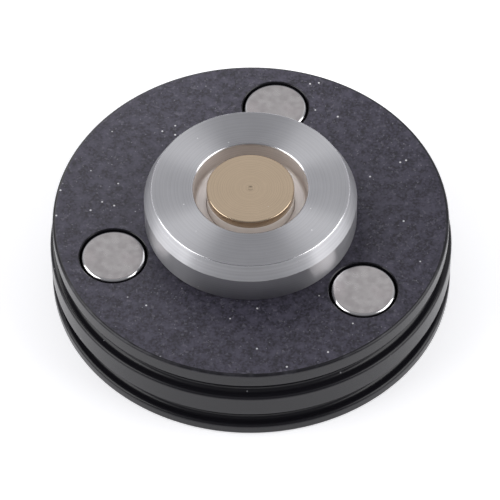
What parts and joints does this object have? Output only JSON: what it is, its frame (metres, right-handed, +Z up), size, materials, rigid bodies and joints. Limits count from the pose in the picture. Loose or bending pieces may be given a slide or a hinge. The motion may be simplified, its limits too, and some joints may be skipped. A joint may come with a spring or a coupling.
{
  "type": "magnet puck",
  "caption": "Round black retrieval magnet puck with inset face magnets, a turned steel collar and a spring-loaded gold-capped centre post.",
  "frame": {"origin": "centre of the flat underside that the puck stands on", "axes": "+Z up along the puck's axis, out of the collar; +Y towards one of the face magnets"},
  "size_m": [0.04, 0.04, 0.0135],
  "materials": {
    "housing_black": "bead-blasted black anodised aluminium, satin turned rim",
    "plate_black": "fine-turned black anodised aluminium",
    "magnet_nickel": "satin nickel plate with bright bevel",
    "collar_steel": "lathe-turned stainless steel",
    "inner_steel": "machined steel",
    "cap_gold": "gold-plated brass, fine-turned",
    "bush_bronze": "sintered bronze",
    "sleeve_cream": "turned cream acetal",
    "seal_rubber": "matte black rubber",
    "spring_steel": "drawn spring wire",
    "screw_black": "black-oxide screw steel"
  },
  "bodies": {
    "puck": {"housing": "housing_black", "back_plate": "plate_black", "back_screw_1": "screw_black", "back_screw_2": "screw_black", "back_screw_3": "screw_black", "back_seal": "seal_rubber", "magnet_left": "magnet_nickel", "magnet_right": "magnet_nickel", "magnet_rear": "magnet_nickel", "collar": "collar_steel", "collar_seal": "seal_rubber", "ring_magnet": "magnet_nickel", "lock_washer": "inner_steel", "collar_nut": "inner_steel", "guide_bush": "bush_bronze", "post_seal": "seal_rubber", "spring_plug": "inner_steel", "return_spring": "spring_steel"},
    "plunger": {"centre_post": "inner_steel", "post_sleeve": "sleeve_cream", "post_cap": "cap_gold", "stop_washer": "inner_steel", "retaining_clip": "spring_steel"}
  },
  "joints": [
    {"name": "plunger_slide", "type": "slide", "parent": "puck", "child": "plunger", "axis": [0, 0, -1], "range_m": [0, 0.001], "stiffness_N_per_m": 600, "springref_m": -0.0015, "deforming": ["return_spring"]}
  ]
}
